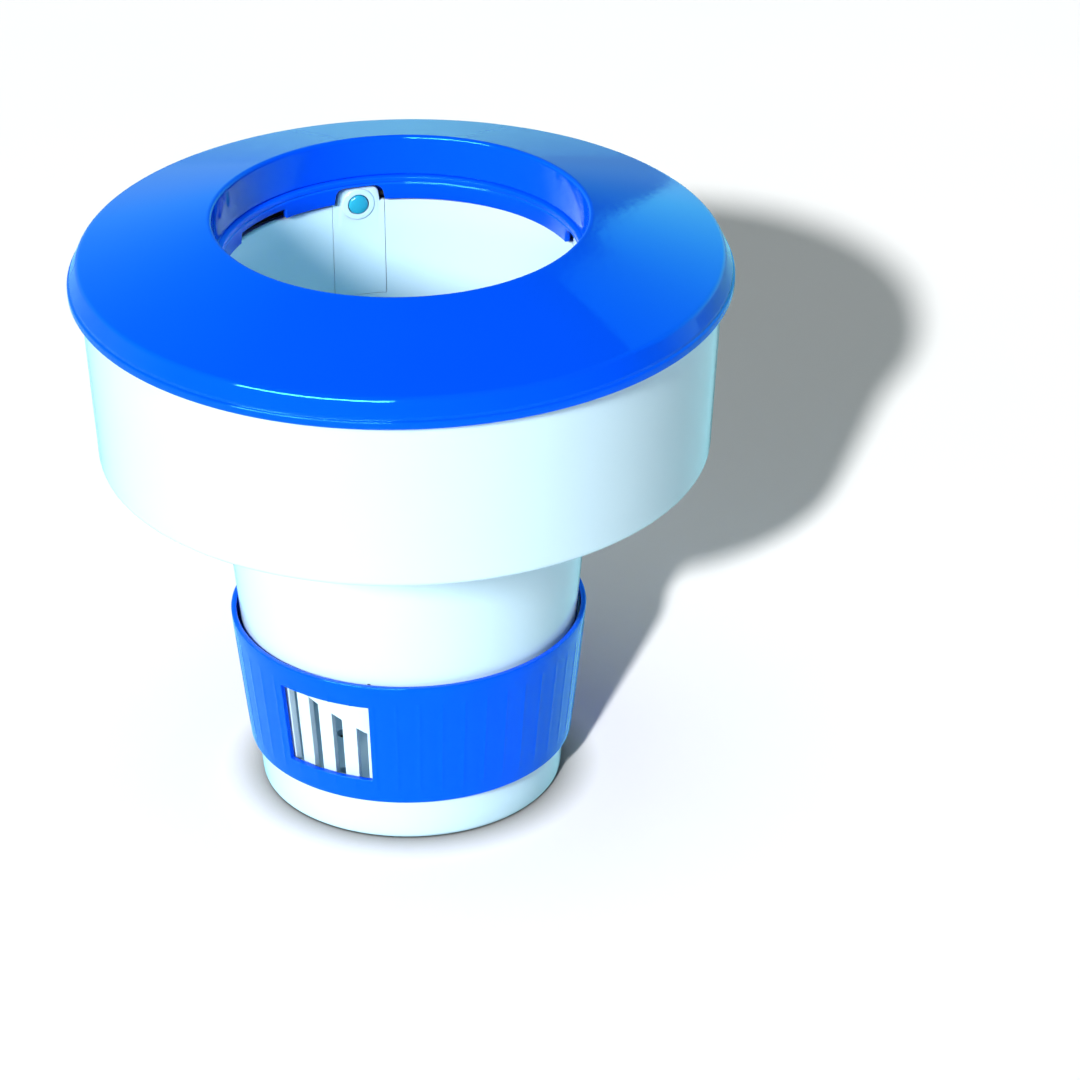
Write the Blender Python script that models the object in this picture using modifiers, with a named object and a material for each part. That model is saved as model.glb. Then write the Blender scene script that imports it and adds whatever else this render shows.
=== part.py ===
"""Floating chlorine dispenser for 76 mm tablets.

A hollow ring-shaped float (blue cap on a white drum) hangs on a white tapered canister.
A blue dosing ring turns on the canister's neck and uncovers graded slots.
Angles are in degrees about +Z, counted from the front (-Y) towards +X.
All sizes are in millimetres; MM turns them into metres.
"""

import math

import bmesh
import bpy
from mathutils import Matrix

MM = 0.001
STEPS = 64
GAP = 0.3

# Overall
HEIGHT = 191.0
WALL = 2.2

# Cap
LIP_RADIUS = 56.4
LIP_ROUND = 1.2
SHOULDER_RADIUS = 96.6
SHOULDER_HEIGHT = 179.0
SHOULDER_ROUND = 2.2
SKIRT_RADIUS = 100.5
SKIRT_BOTTOM = 169.8
INNER_SKIRT_RADIUS = 55.3
INNER_SKIRT_BOTTOM = 178.7

# Drum
DRUM_TOP_RADIUS = 97.1
DRUM_TOP = 173.3
DRUM_LOW_RADIUS = 93.5
DRUM_ROUND = 1.8
DRUM_BOTTOM = 114.9
SLEEVE_RADIUS = 61.0
SLEEVE_TOP = 168.0

# Collar that the canister's lugs stop against
COLLAR_RADIUS = 53.9
COLLAR_LIP = 1.7
COLLAR_TOP = INNER_SKIRT_BOTTOM - GAP
COLLAR_BOTTOM = 171.0
COLLAR_WEB_BOTTOM = 175.3
COLLAR_OUTER_RADIUS = 65.6
COLLAR_WALL_BOTTOM = 160.0
LUG_NOTCH_WIDTH = 15.4
LUG_NOTCH_TOP = 175.9
LUG_NOTCH_ROUND = 3.0
RELIEF_START = 220.4
RELIEF_WIDTH = 22.0
RELIEF_TOP = 174.2

# Seals
SEAL_ROUND = 1.2
OUTER_SEAL_ROUND = 0.95
OUTER_SEAL_RADIUS = 95.7

# Canister
CANISTER_RADIUS = 58.15
CANISTER_WALL = 2.15
TAPER_TOP = 115.6
BASE_RADIUS = 46.9
BASE_ROUND = 2.2
FOOT_INNER_RADIUS = 38.0
FOOT_RECESS = 1.2
RIM_HEIGHT = 169.9
LUG_TOP = 174.9
LUG_WIDTH = 13.6
LUG_ROUND = 2.6
LUG_ANGLES = (13.4, 103.4, 283.4)
GUIDE_BEAD_RADIUS = 60.5
SNAP_GROOVE_BOTTOM = 17.0
SNAP_GROOVE_TOP = 20.0
SNAP_GROOVE_RADIUS = 47.3
DRAIN_HOLE_RADIUS = 3.0
DRAIN_CIRCLE_RADIUS = 24.0
DRAIN_COUNT = 6

# Graded slots, all tops on one slanting line
SLOT_COUNT = 8
SLOT_WIDTH = 3.4
SLOT_FIRST_ANGLE = -44.6
SLOT_PITCH = 9.05
SLOT_BOTTOM = 21.2
SLOT_FIRST_TOP = 51.2
SLOT_TOP_FALL = 0.41
SLOT_GROUPS = (0.0, 180.0)

# Latch finger and its button
LATCH_ANGLE = 193.4
FINGER_WIDTH = 17.2
FINGER_SLIT = 0.6
FINGER_ROOT = 138.0
BUTTON_HEIGHT = 169.3
BUTTON_RADIUS = 3.05
BOSS_RADIUS = 5.2
BOSS_PROUD = 0.6

# Dosing ring
RING_TOP = 58.5
RING_BOTTOM = 15.0
RING_RIM_RADIUS = 55.4
RING_TOP_RADIUS = 55.0
RING_LOW_RADIUS = 50.5
RING_WALL = 1.6
RIM_FLARE = 4.0
WINDOW_ANGLE = -30.35
WINDOW_WIDTH = 30.6
WINDOW_BOTTOM = 23.0
WINDOW_TOP = 50.7
RING_TRAVEL = 70.0

# Stop pin in the canister's neck, and the stop lugs inside the dosing ring
PIN_ANGLE = -13.9
PIN_WIDTH = 1.0
PIN_BOTTOM = 55.8
PIN_TOP = 58.2
PIN_PROUD_RADIUS = 53.3
PIN_SEAT_RADIUS = 51.3
STOP_WIDTH = 2.0
STOP_RADIUS = 52.9

BLUE = (0.004, 0.09, 0.83)
WHITE = (0.86, 0.93, 0.95)
CYAN = (0.03, 0.45, 0.75)
SEAL_BLACK = (0.02, 0.02, 0.022)
PIN_TEAL = (0.01, 0.05, 0.06)


def clear_scene():
    for obj in list(bpy.data.objects):
        bpy.data.objects.remove(obj)


def new_collection(name):
    collection = bpy.data.collections.new(name)
    bpy.context.scene.collection.children.link(collection)
    return collection


def plastic(name, colour, roughness):
    material = bpy.data.materials.new(name)
    material.use_nodes = True
    shader = material.node_tree.nodes["Principled BSDF"]
    shader.inputs["Base Color"].default_value = (*colour, 1.0)
    shader.inputs["Roughness"].default_value = roughness
    shader.inputs["Metallic"].default_value = 0.0
    return material


def arc(centre, radius, start, end, pieces):
    """Points of a profile's round corner, from one angle to another in degrees."""
    points = []
    for i in range(pieces + 1):
        angle = math.radians(start + (end - start) * i / pieces)
        points.append((centre[0] + radius * math.cos(angle), centre[1] + radius * math.sin(angle)))
    return points


def at_angle(angle, radius=0.0, height=0.0):
    """The frame of a place round the axis: X along the wall, -Y outward, Z up."""
    return Matrix.Rotation(math.radians(angle), 4, "Z") @ Matrix.Translation((0.0, -radius * MM, height * MM))


def add_object(name, mesh, collection):
    obj = bpy.data.objects.new(name, mesh)
    collection.objects.link(obj)
    return obj


def turned(name, profile, collection, closed=True):
    """A profile of (radius, height) points turned about +Z; it runs down its outer side."""
    count = len(profile)
    edges = [(i, (i + 1) % count) for i in range(count if closed else count - 1)]
    mesh = bpy.data.meshes.new(name)
    mesh.from_pydata([(r * MM, 0.0, z * MM) for r, z in profile], edges, [])
    obj = add_object(name, mesh, collection)
    screw = obj.modifiers.new("Turn", "SCREW")
    screw.steps = STEPS
    screw.render_steps = STEPS
    screw.use_merge_vertices = True
    screw.merge_threshold = 0.00001
    weld = obj.modifiers.new("Join at the axis", "WELD")
    weld.merge_threshold = 0.00001
    return obj


def box(name, size, collection):
    """A box centred on its origin, sized in millimetres."""
    mesh = bpy.data.meshes.new(name)
    shape = bmesh.new()
    bmesh.ops.create_cube(shape, size=1.0)
    bmesh.ops.scale(shape, vec=[side * MM for side in size], verts=shape.verts)
    shape.to_mesh(mesh)
    shape.free()
    return add_object(name, mesh, collection)


def round_bar(name, radius, depth, collection, segments=24):
    """A cylinder along its own Z, centred on its origin."""
    mesh = bpy.data.meshes.new(name)
    shape = bmesh.new()
    bmesh.ops.create_cone(shape, cap_ends=True, segments=segments, radius1=radius * MM,
                          radius2=radius * MM, depth=depth * MM)
    shape.to_mesh(mesh)
    shape.free()
    return add_object(name, mesh, collection)


def plate(name, outline, depth, collection):
    """A flat outline of (along, up) points, made this deep across its plane."""
    curve = bpy.data.curves.new(name, "CURVE")
    curve.dimensions = "2D"
    curve.fill_mode = "BOTH"
    curve.extrude = depth * MM / 2
    spline = curve.splines.new("POLY")
    spline.points.add(len(outline) - 1)
    for point, (along, up) in zip(spline.points, outline):
        point.co = (along * MM, up * MM, 0.0, 1.0)
    spline.use_cyclic_u = True
    flat = bpy.data.objects.new(name + "_outline", curve)
    collection.objects.link(flat)
    graph = bpy.context.evaluated_depsgraph_get()
    mesh = bpy.data.meshes.new_from_object(flat.evaluated_get(graph))
    shape = bmesh.new()
    shape.from_mesh(mesh)
    bmesh.ops.remove_doubles(shape, verts=shape.verts, dist=0.000001)
    bmesh.ops.rotate(shape, verts=shape.verts, matrix=Matrix.Rotation(math.radians(90), 3, "X"))
    bmesh.ops.recalc_face_normals(shape, faces=shape.faces)
    shape.to_mesh(mesh)
    shape.free()
    bpy.data.objects.remove(flat)
    return add_object(name, mesh, collection)


def tongue(width, bottom, top, rounding):
    """An upright outline with round top corners."""
    half = width / 2
    points = [(-half, bottom), (half, bottom)]
    points += arc((half - rounding, top - rounding), rounding, 0, 90, 5)
    points += arc((rounding - half, top - rounding), rounding, 90, 180, 5)
    return points


def combine(obj, tools, operation):
    for tool in tools:
        step = obj.modifiers.new(tool.name, "BOOLEAN")
        step.operation = operation
        step.solver = "EXACT"
        step.object = tool


def as_cutters(objects):
    for obj in objects:
        obj.hide_render = True
        obj.display_type = "WIRE"


def settle(obj, material):
    """Keeps the finished shape as the object's own mesh, shades it and gives it its material."""
    bpy.context.view_layer.update()
    graph = bpy.context.evaluated_depsgraph_get()
    mesh = bpy.data.meshes.new_from_object(obj.evaluated_get(graph))
    obj.modifiers.clear()
    obj.data = mesh
    mesh.name = obj.name
    mesh.shade_smooth()
    mesh.set_sharp_from_angle(angle=math.radians(28))
    mesh.materials.clear()
    mesh.materials.append(material)


def canister_radius(height):
    """Outside radius of the canister: straight in the float, tapered below it."""
    if height >= TAPER_TOP:
        return CANISTER_RADIUS
    return BASE_RADIUS + (CANISTER_RADIUS - BASE_RADIUS) * height / TAPER_TOP


def ring_radius(height):
    """Outside radius of the dosing ring's tapered wall."""
    share = (height - RING_BOTTOM) / (RING_TOP - RIM_FLARE - RING_BOTTOM)
    return RING_LOW_RADIUS + (RING_TOP_RADIUS - RING_LOW_RADIUS) * share


def make_cap_ring(collection):
    slope = 17.2
    skirt_slope = 23.5
    lip_centre = (LIP_RADIUS + LIP_ROUND, HEIGHT - LIP_ROUND)
    lip_end = math.radians(90 - slope)
    shoulder_centre = (SHOULDER_RADIUS - SHOULDER_ROUND * math.cos(lip_end),
                       SHOULDER_HEIGHT - SHOULDER_ROUND * math.sin(lip_end))
    inside = SHOULDER_ROUND - WALL * 0.9
    profile = arc(lip_centre, LIP_ROUND, 180, 90 - slope, 5)
    profile += arc(shoulder_centre, SHOULDER_ROUND, 90 - slope, skirt_slope, 4)
    profile += [
        (SKIRT_RADIUS - 0.5, SKIRT_BOTTOM + 2.6),
        (SKIRT_RADIUS, SKIRT_BOTTOM + 2.0),
        (SKIRT_RADIUS, SKIRT_BOTTOM + 0.5),
        (SKIRT_RADIUS - 0.4, SKIRT_BOTTOM),
        (DRUM_TOP_RADIUS + 1.0, SKIRT_BOTTOM),
        (DRUM_TOP_RADIUS + 0.4, DRUM_TOP),
    ]
    profile += [
        (shoulder_centre[0] + inside, shoulder_centre[1] + inside),
        (shoulder_centre[0] - inside, shoulder_centre[1] + inside),
        (LIP_RADIUS + WALL + 0.8, HEIGHT - WALL - LIP_ROUND - 0.2),
        (LIP_RADIUS + WALL - 0.3, HEIGHT - WALL - LIP_ROUND - 1.2),
        (INNER_SKIRT_RADIUS + WALL, INNER_SKIRT_BOTTOM),
        (INNER_SKIRT_RADIUS, INNER_SKIRT_BOTTOM),
    ]
    return turned("cap_ring", profile, collection)


def make_collar(collection, cutters):
    lip_outside = COLLAR_RADIUS + COLLAR_LIP
    wall_inside = SLEEVE_RADIUS + WALL + GAP
    shoulder = SLEEVE_TOP + 2 * SEAL_ROUND + 2 * GAP
    profile = [
        (COLLAR_RADIUS, COLLAR_BOTTOM),
        (COLLAR_RADIUS, COLLAR_TOP),
        (COLLAR_OUTER_RADIUS, COLLAR_TOP),
        (COLLAR_OUTER_RADIUS, COLLAR_WALL_BOTTOM),
        (wall_inside, COLLAR_WALL_BOTTOM),
        (wall_inside, shoulder),
        (SLEEVE_RADIUS, shoulder),
        (SLEEVE_RADIUS, COLLAR_WEB_BOTTOM),
        (lip_outside, COLLAR_WEB_BOTTOM),
        (lip_outside, COLLAR_BOTTOM),
    ]
    collar = turned("canister_collar", profile, collection)
    notches = []
    for angle in (*LUG_ANGLES, LATCH_ANGLE):
        outline = tongue(LUG_NOTCH_WIDTH, COLLAR_BOTTOM - 5, LUG_NOTCH_TOP, LUG_NOTCH_ROUND)
        notch = plate(f"notch_{angle:.0f}", outline, 10.0, cutters)
        notch.matrix_world = at_angle(angle, lip_outside + GAP - 5.0)
        notches.append(notch)
    relief = plate("relief", tongue(RELIEF_WIDTH, COLLAR_BOTTOM - 5, RELIEF_TOP, 1.0), 10.0, cutters)
    half_relief = math.degrees(RELIEF_WIDTH / 2 / COLLAR_RADIUS)
    relief.matrix_world = at_angle(RELIEF_START + half_relief, lip_outside + GAP - 5.0)
    notches.append(relief)
    as_cutters(notches)
    combine(collar, notches, "DIFFERENCE")
    return collar


def make_float_drum(collection):
    inner_low = DRUM_LOW_RADIUS - WALL
    profile = arc((DRUM_LOW_RADIUS - DRUM_ROUND, DRUM_BOTTOM + DRUM_ROUND), DRUM_ROUND, 0, -90, 5)
    profile += [
        (SLEEVE_RADIUS, DRUM_BOTTOM),
        (SLEEVE_RADIUS, SLEEVE_TOP),
        (SLEEVE_RADIUS + WALL, SLEEVE_TOP),
        (SLEEVE_RADIUS + WALL, DRUM_BOTTOM + WALL),
        (inner_low - 2.0, DRUM_BOTTOM + WALL),
        (inner_low, DRUM_BOTTOM + WALL + 2.0),
        (DRUM_TOP_RADIUS - WALL, DRUM_TOP),
        (DRUM_TOP_RADIUS, DRUM_TOP),
    ]
    return turned("float_drum", profile, collection)


def make_seal(name, radius, rounding, seat, collection):
    """An O-ring that lies on a rim at the seat's height."""
    height = seat + GAP + rounding
    bpy.ops.mesh.primitive_torus_add(major_radius=radius * MM, minor_radius=rounding * MM,
                                     major_segments=STEPS, minor_segments=6,
                                     location=(0.0, 0.0, height * MM))
    seal = bpy.context.active_object
    seal.name = name
    for owner in list(seal.users_collection):
        owner.objects.unlink(seal)
    collection.objects.link(seal)
    return seal


def canister_profile():
    floor_top = FOOT_RECESS + WALL
    inner_low = canister_radius(floor_top) - CANISTER_WALL
    inner_top = CANISTER_RADIUS - CANISTER_WALL
    profile = [
        (0.0, floor_top),
        (inner_low - 1.5, floor_top),
        (inner_low, floor_top + 1.5),
        (inner_top, TAPER_TOP),
        (inner_top, LUG_TOP),
        (CANISTER_RADIUS, LUG_TOP),
    ]
    for bead in (164.2, 118.2):
        profile += [
            (CANISTER_RADIUS, bead + 1.6),
            (GUIDE_BEAD_RADIUS, bead + 0.6),
            (GUIDE_BEAD_RADIUS, bead - 0.6),
            (CANISTER_RADIUS, bead - 1.6),
        ]
    profile += [
        (CANISTER_RADIUS, TAPER_TOP),
        (canister_radius(SNAP_GROOVE_TOP), SNAP_GROOVE_TOP),
        (SNAP_GROOVE_RADIUS, SNAP_GROOVE_TOP),
        (SNAP_GROOVE_RADIUS, SNAP_GROOVE_BOTTOM),
        (canister_radius(SNAP_GROOVE_BOTTOM), SNAP_GROOVE_BOTTOM),
    ]
    profile += arc((canister_radius(BASE_ROUND) - BASE_ROUND, BASE_ROUND), BASE_ROUND, 0, -90, 4)
    profile += [
        (FOOT_INNER_RADIUS, 0.0),
        (FOOT_INNER_RADIUS - 1.0, FOOT_RECESS),
        (0.0, FOOT_RECESS),
    ]
    return profile


def make_rim_cutter(cutters):
    """Everything above the rim between the lugs."""
    low = RIM_HEIGHT
    high = LUG_TOP + 5
    inside = CANISTER_RADIUS - CANISTER_WALL - 4
    outside = CANISTER_RADIUS + 4
    rim = turned("rim_cutter", [(inside, low), (inside, high), (outside, high), (outside, low)], cutters)
    lugs = []
    for angle in LUG_ANGLES:
        lug = plate(f"lug_{angle:.0f}", tongue(LUG_WIDTH, low - 3, LUG_TOP, LUG_ROUND), 14.0, cutters)
        lug.matrix_world = at_angle(angle, CANISTER_RADIUS)
        lugs.append(lug)
    combine(rim, lugs, "DIFFERENCE")
    as_cutters([rim, *lugs])
    return rim


def make_slot_cutters(cutters):
    slots = []
    for group in SLOT_GROUPS:
        for i in range(SLOT_COUNT):
            angle = SLOT_FIRST_ANGLE + SLOT_PITCH * i
            top = SLOT_FIRST_TOP - SLOT_TOP_FALL * SLOT_PITCH * i
            half = SLOT_WIDTH / 2
            fall = SLOT_TOP_FALL * math.degrees(half / canister_radius(top))
            outline = [(-half, SLOT_BOTTOM), (half, SLOT_BOTTOM), (half, top - fall), (-half, top + fall)]
            slot = plate(f"slot_{group:.0f}_{i}", outline, 12.0, cutters)
            slot.matrix_world = at_angle(group + angle, canister_radius(35.0))
            slots.append(slot)
    return slots


def make_drain_cutters(cutters):
    drains = []
    for i in range(DRAIN_COUNT):
        drain = round_bar(f"drain_{i}", DRAIN_HOLE_RADIUS, 10.0, cutters, segments=12)
        drain.matrix_world = at_angle(i * 360 / DRAIN_COUNT, DRAIN_CIRCLE_RADIUS, FOOT_RECESS)
        drains.append(drain)
    return drains


def make_canister(collection, cutters):
    canister = turned("tablet_canister", canister_profile(), collection, closed=False)
    opening_width = FINGER_WIDTH + 2 * FINGER_SLIT
    finger_opening = box("finger_opening", (opening_width, 14.0, LUG_TOP + 10 - FINGER_ROOT), cutters)
    finger_opening.matrix_world = at_angle(LATCH_ANGLE, CANISTER_RADIUS, (LUG_TOP + 10 + FINGER_ROOT) / 2)
    pin_seat = box("pin_seat", (PIN_WIDTH + 2 * GAP, 4.0, PIN_TOP - PIN_BOTTOM + 2 * GAP), cutters)
    pin_seat.matrix_world = at_angle(PIN_ANGLE, PIN_SEAT_RADIUS - GAP + 2.0, (PIN_TOP + PIN_BOTTOM) / 2)
    tools = [finger_opening, pin_seat, *make_slot_cutters(cutters), *make_drain_cutters(cutters)]
    as_cutters(tools)
    combine(canister, [make_rim_cutter(cutters), *tools], "DIFFERENCE")
    return canister


def make_latch_finger(collection, cutters):
    inside = CANISTER_RADIUS - CANISTER_WALL
    low = FINGER_ROOT + GAP
    tube = turned("latch_finger", [(inside, low), (inside, LUG_TOP), (CANISTER_RADIUS, LUG_TOP),
                                   (CANISTER_RADIUS, low)], collection)
    half = FINGER_WIDTH / 2
    tab = tongue(LUG_WIDTH, RIM_HEIGHT, LUG_TOP, LUG_ROUND)
    outline = [(-half, low - 2), (half, low - 2), (half, RIM_HEIGHT), *tab[1:], tab[0], (-half, RIM_HEIGHT)]
    shape = plate("finger_outline", outline, 14.0, cutters)
    shape.matrix_world = at_angle(LATCH_ANGLE, CANISTER_RADIUS)
    boss_depth = BOSS_PROUD + 1.2
    boss = round_bar("boss", BOSS_RADIUS, boss_depth, cutters)
    upright = Matrix.Rotation(math.radians(90), 4, "X")
    boss.matrix_world = at_angle(LATCH_ANGLE, inside - BOSS_PROUD + boss_depth / 2, BUTTON_HEIGHT) @ upright
    hole = round_bar("button_hole", BUTTON_RADIUS + GAP, 14.0, cutters)
    hole.matrix_world = at_angle(LATCH_ANGLE, inside, BUTTON_HEIGHT) @ upright
    as_cutters([shape, boss, hole])
    combine(tube, [shape], "INTERSECT")
    combine(tube, [boss], "UNION")
    combine(tube, [hole], "DIFFERENCE")
    return tube


def make_release_button(collection):
    inside = CANISTER_RADIUS - CANISTER_WALL
    back = CANISTER_RADIUS - inside - 0.2
    dome = 1.5
    profile = [(0.0, dome)]
    profile += [(BUTTON_RADIUS * math.sin(math.radians(a)) * 0.97, dome - 0.7 * (1 - math.cos(math.radians(a))))
                for a in (30, 60, 90)]
    profile += [(BUTTON_RADIUS, dome - 1.0), (BUTTON_RADIUS, -back), (0.0, -back)]
    button = turned("release_button", profile, collection, closed=False)
    button.modifiers["Turn"].steps = 24
    button.modifiers["Turn"].render_steps = 24
    inward = Matrix.Rotation(math.radians(-90), 4, "X")
    button.matrix_world = at_angle(LATCH_ANGLE, inside, BUTTON_HEIGHT) @ inward
    return button


def make_dosing_ring(collection, cutters):
    flare_bottom = RING_TOP - RIM_FLARE
    bead_middle = (SNAP_GROOVE_BOTTOM + SNAP_GROOVE_TOP) / 2
    profile = [
        (RING_RIM_RADIUS - 0.5, RING_TOP),
        (RING_RIM_RADIUS, RING_TOP - 0.7),
        (RING_TOP_RADIUS, flare_bottom),
        (RING_LOW_RADIUS + 0.1, RING_BOTTOM + 0.8),
        (RING_LOW_RADIUS - 0.5, RING_BOTTOM),
        (ring_radius(RING_BOTTOM) - RING_WALL, RING_BOTTOM),
        (ring_radius(bead_middle - 1.1) - RING_WALL, bead_middle - 1.1),
        (SNAP_GROOVE_RADIUS + 0.5, bead_middle - 0.5),
        (SNAP_GROOVE_RADIUS + 0.5, bead_middle + 0.5),
        (ring_radius(bead_middle + 1.1) - RING_WALL, bead_middle + 1.1),
        (RING_TOP_RADIUS - RING_WALL, flare_bottom),
        (RING_RIM_RADIUS - 1.3, RING_TOP),
    ]
    ring = turned("dosing_ring", profile, collection)
    windows = []
    for group in SLOT_GROUPS:
        outline = tongue(WINDOW_WIDTH, WINDOW_BOTTOM, WINDOW_TOP, 0.5)
        window = plate(f"window_{group:.0f}", outline, 16.0, cutters)
        window.matrix_world = at_angle(WINDOW_ANGLE + group, ring_radius(37.0))
        windows.append(window)
    stops = []
    reach = math.degrees((PIN_WIDTH / 2 + GAP + STOP_WIDTH / 2) / STOP_RADIUS)
    for angle in (PIN_ANGLE + reach, PIN_ANGLE - reach - RING_TRAVEL):
        stop = box(f"stop_{angle:.0f}", (STOP_WIDTH, 1.6, 2.4), cutters)
        stop.matrix_world = at_angle(angle, STOP_RADIUS + 0.8, flare_bottom + 2.4)
        stops.append(stop)
    as_cutters([*windows, *stops])
    combine(ring, windows, "DIFFERENCE")
    combine(ring, stops, "UNION")
    return ring


def make_stop_pin(collection):
    depth = PIN_PROUD_RADIUS - PIN_SEAT_RADIUS
    pin = box("ring_stop_pin", (PIN_WIDTH, depth, PIN_TOP - PIN_BOTTOM), collection)
    bevel = pin.modifiers.new("Edges", "BEVEL")
    bevel.width = 0.2 * MM
    bevel.segments = 2
    pin.matrix_world = at_angle(PIN_ANGLE, PIN_SEAT_RADIUS + depth / 2, (PIN_TOP + PIN_BOTTOM) / 2)
    return pin


def main():
    clear_scene()
    parts = new_collection("floating_chlorine_dispenser")
    cutters = new_collection("cutters")
    blue = plastic("blue plastic", BLUE, 0.25)
    white = plastic("white plastic", WHITE, 0.25)
    cyan = plastic("cyan plastic", CYAN, 0.3)
    rubber = plastic("seal rubber", SEAL_BLACK, 0.7)
    teal = plastic("dark teal plastic", PIN_TEAL, 0.5)
    settle(make_cap_ring(parts), blue)
    settle(make_collar(parts, cutters), blue)
    settle(make_float_drum(parts), white)
    settle(make_seal("outer_seal", OUTER_SEAL_RADIUS, OUTER_SEAL_ROUND, DRUM_TOP, parts), rubber)
    settle(make_seal("inner_seal", SLEEVE_RADIUS + WALL / 2, SEAL_ROUND, SLEEVE_TOP, parts), rubber)
    settle(make_canister(parts, cutters), white)
    settle(make_latch_finger(parts, cutters), white)
    settle(make_release_button(parts), cyan)
    settle(make_dosing_ring(parts, cutters), blue)
    settle(make_stop_pin(parts), teal)


main()
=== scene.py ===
import math

import bmesh
import bpy
from mathutils import Matrix, Vector


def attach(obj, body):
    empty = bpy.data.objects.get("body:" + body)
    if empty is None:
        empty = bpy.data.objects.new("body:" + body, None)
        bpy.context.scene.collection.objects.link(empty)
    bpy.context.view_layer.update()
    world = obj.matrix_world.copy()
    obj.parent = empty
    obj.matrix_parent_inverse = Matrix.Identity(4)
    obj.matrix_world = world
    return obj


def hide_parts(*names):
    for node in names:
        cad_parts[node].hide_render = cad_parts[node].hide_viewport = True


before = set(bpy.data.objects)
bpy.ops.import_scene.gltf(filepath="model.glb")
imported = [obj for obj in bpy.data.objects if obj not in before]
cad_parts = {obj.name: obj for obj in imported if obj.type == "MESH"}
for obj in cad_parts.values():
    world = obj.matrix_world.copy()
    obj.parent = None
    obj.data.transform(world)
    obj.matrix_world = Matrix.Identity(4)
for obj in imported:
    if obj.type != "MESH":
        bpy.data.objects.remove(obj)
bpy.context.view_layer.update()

# Floating chlorine dispenser. Angles are in degrees about +Z, from the front (-Y) towards +X.
# Sizes are in millimetres and heights start at the base; MM turns them into metres.
MM = 0.001
STEP = 1.5

# Float
CAP_TOP = 190.99
CAP_SLOPE = 17.2
SKIRT_LEAN = 23.5
LIP_RADIUS = 56.4
SHOULDER_RADIUS = 96.6
SHOULDER_HEIGHT = 179.0
SKIRT_RADIUS = 100.5
SKIRT_BOTTOM = 169.8
SKIRT_BEAD = 0.75
INNER_SKIRT_RADIUS = 55.3
INNER_SKIRT_BOTTOM = 178.7
DRUM_TOP_RADIUS = 97.1
DRUM_TOP = 173.3
DRUM_LOW_RADIUS = 93.5
DRUM_BOTTOM = 114.9
SLEEVE_RADIUS = 61.0
SLEEVE_TOP = 168.0
FLOAT_WALL = 2.2
COLLAR_RADIUS = 53.9
COLLAR_LIP = 1.7
COLLAR_TOP = 178.4
COLLAR_BOTTOM = 171.0
COLLAR_WEB_BOTTOM = 176.0
COLLAR_OUTER_RADIUS = 65.6
COLLAR_WALL_BOTTOM = 160.0

# Canister
CANISTER_RADIUS = 58.15
CANISTER_WALL = 2.15
TAPER_TOP = 115.6
BASE_RADIUS = 46.9
FOOT_RADIUS = 38.0
FOOT_RECESS = 1.2
RIM_HEIGHT = 169.9
LUG_TOP = 174.9
LUG_HALF = 6.8
LUG_ROUND = 2.6
LUG_ANGLES = (13.4, 103.4, 283.4)
LATCH_ANGLE = 193.4
FINGER_HALF = 8.6
FINGER_SLIT = 0.15
FINGER_ROOT = 138.0
FINGER_ROOT_GAP = 0.12
BUTTON_HEIGHT = 169.3
BUTTON_RADIUS = 3.05
BUTTON_GAP = 0.3
BOSS_RADIUS = 5.2
NOTCH_HALF = 7.7
NOTCH_TOP = 175.9
RELIEF_START = 220.4
RELIEF_WIDTH = 23.4
RELIEF_TOP = 174.2
SLOT_HALF = 1.7
SLOT_COUNT = 8
SLOT_FIRST_ANGLE = -44.6
SLOT_PITCH = 9.05
SLOT_BOTTOM = 21.2
SLOT_FIRST_TOP = 51.2
SLOT_TOP_FALL = 0.41
SLOT_TOPS_LEVEL = 64.0
LOWER_BEAD = 118.2
UPPER_BEAD = 164.2
DRAIN_COUNT = 6
DRAIN_RADIUS = 3.0
DRAIN_CIRCLE = 24.0

# Dosing ring
RING_TOP = 58.5
RING_BOTTOM = 15.0
FLARE_BOTTOM = 54.5
RIM_RADIUS = 55.4
RIM_WIDTH = 1.8
RING_TOP_RADIUS = 55.0
RING_LOW_RADIUS = 50.5
RING_WALL = 1.6
WINDOW_ANGLE = -30.35
WINDOW_HALF = 16.5
WINDOW_BOTTOM = 23.0
WINDOW_TOP = 50.7
RIB_FIRST_ANGLE = -4.9
RIB_PITCH = 7.5
RIB_HALF = 0.6
RIB_HEIGHT = 0.13
RIB_BOTTOM = 19.6
RIB_TOP = 51.6
RIB_RUNOUT = 0.9
RIB_COUNT = 48

# Studio. Directions are (azimuth, elevation), and sizes and distances are in metres.
KEY_DIRECTION = (-30.0, 27.5)
FLOOR_KEY_DIRECTION = (-16.5, 28.0)
STRIP_DIRECTION = (-32.0, 31.0)
MOUTH_FILL_DIRECTION = (60.0, 50.0)
BACK_FILL_DIRECTION = (160.0, 25.0)
MOUTH_FILL_LIGHTS = ("canister_shell", "collar_shell", "finger_shell")
# Reach of the floor's painted contact shadow.
CONTACT_SHADOW_DISTANCE = 0.013
PANEL_EDGE = 9.05
PANEL_LEAN = 23.8
PANEL_CURVE = 58.0
PANEL_TOP = 0.381
PANEL_TOP_LEAN = 0.0137
PANEL_STRENGTH = 1.9

# Camera
CAMERA_PLACE = (0.0, -1.3699, 0.8287)
CAMERA_YAW, CAMERA_PITCH, CAMERA_ROLL = 0.0300, 0.50078, -0.00807
CAMERA_LENS = 167.86
SENSOR_WIDTH = 36.0


def polar(angle, radius, height):
    """The point at an angle, a radius and a height."""
    turn = math.radians(angle)
    return Vector((radius * math.sin(turn), -radius * math.cos(turn), height)) * MM


def at_angle(angle, radius=0.0, height=0.0):
    """The frame of a place round the axis: X along the wall, -Y outward, Z up."""
    turn = Matrix.Rotation(math.radians(angle), 4, "Z")
    return turn @ Matrix.Translation((0.0, -radius * MM, height * MM))


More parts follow.
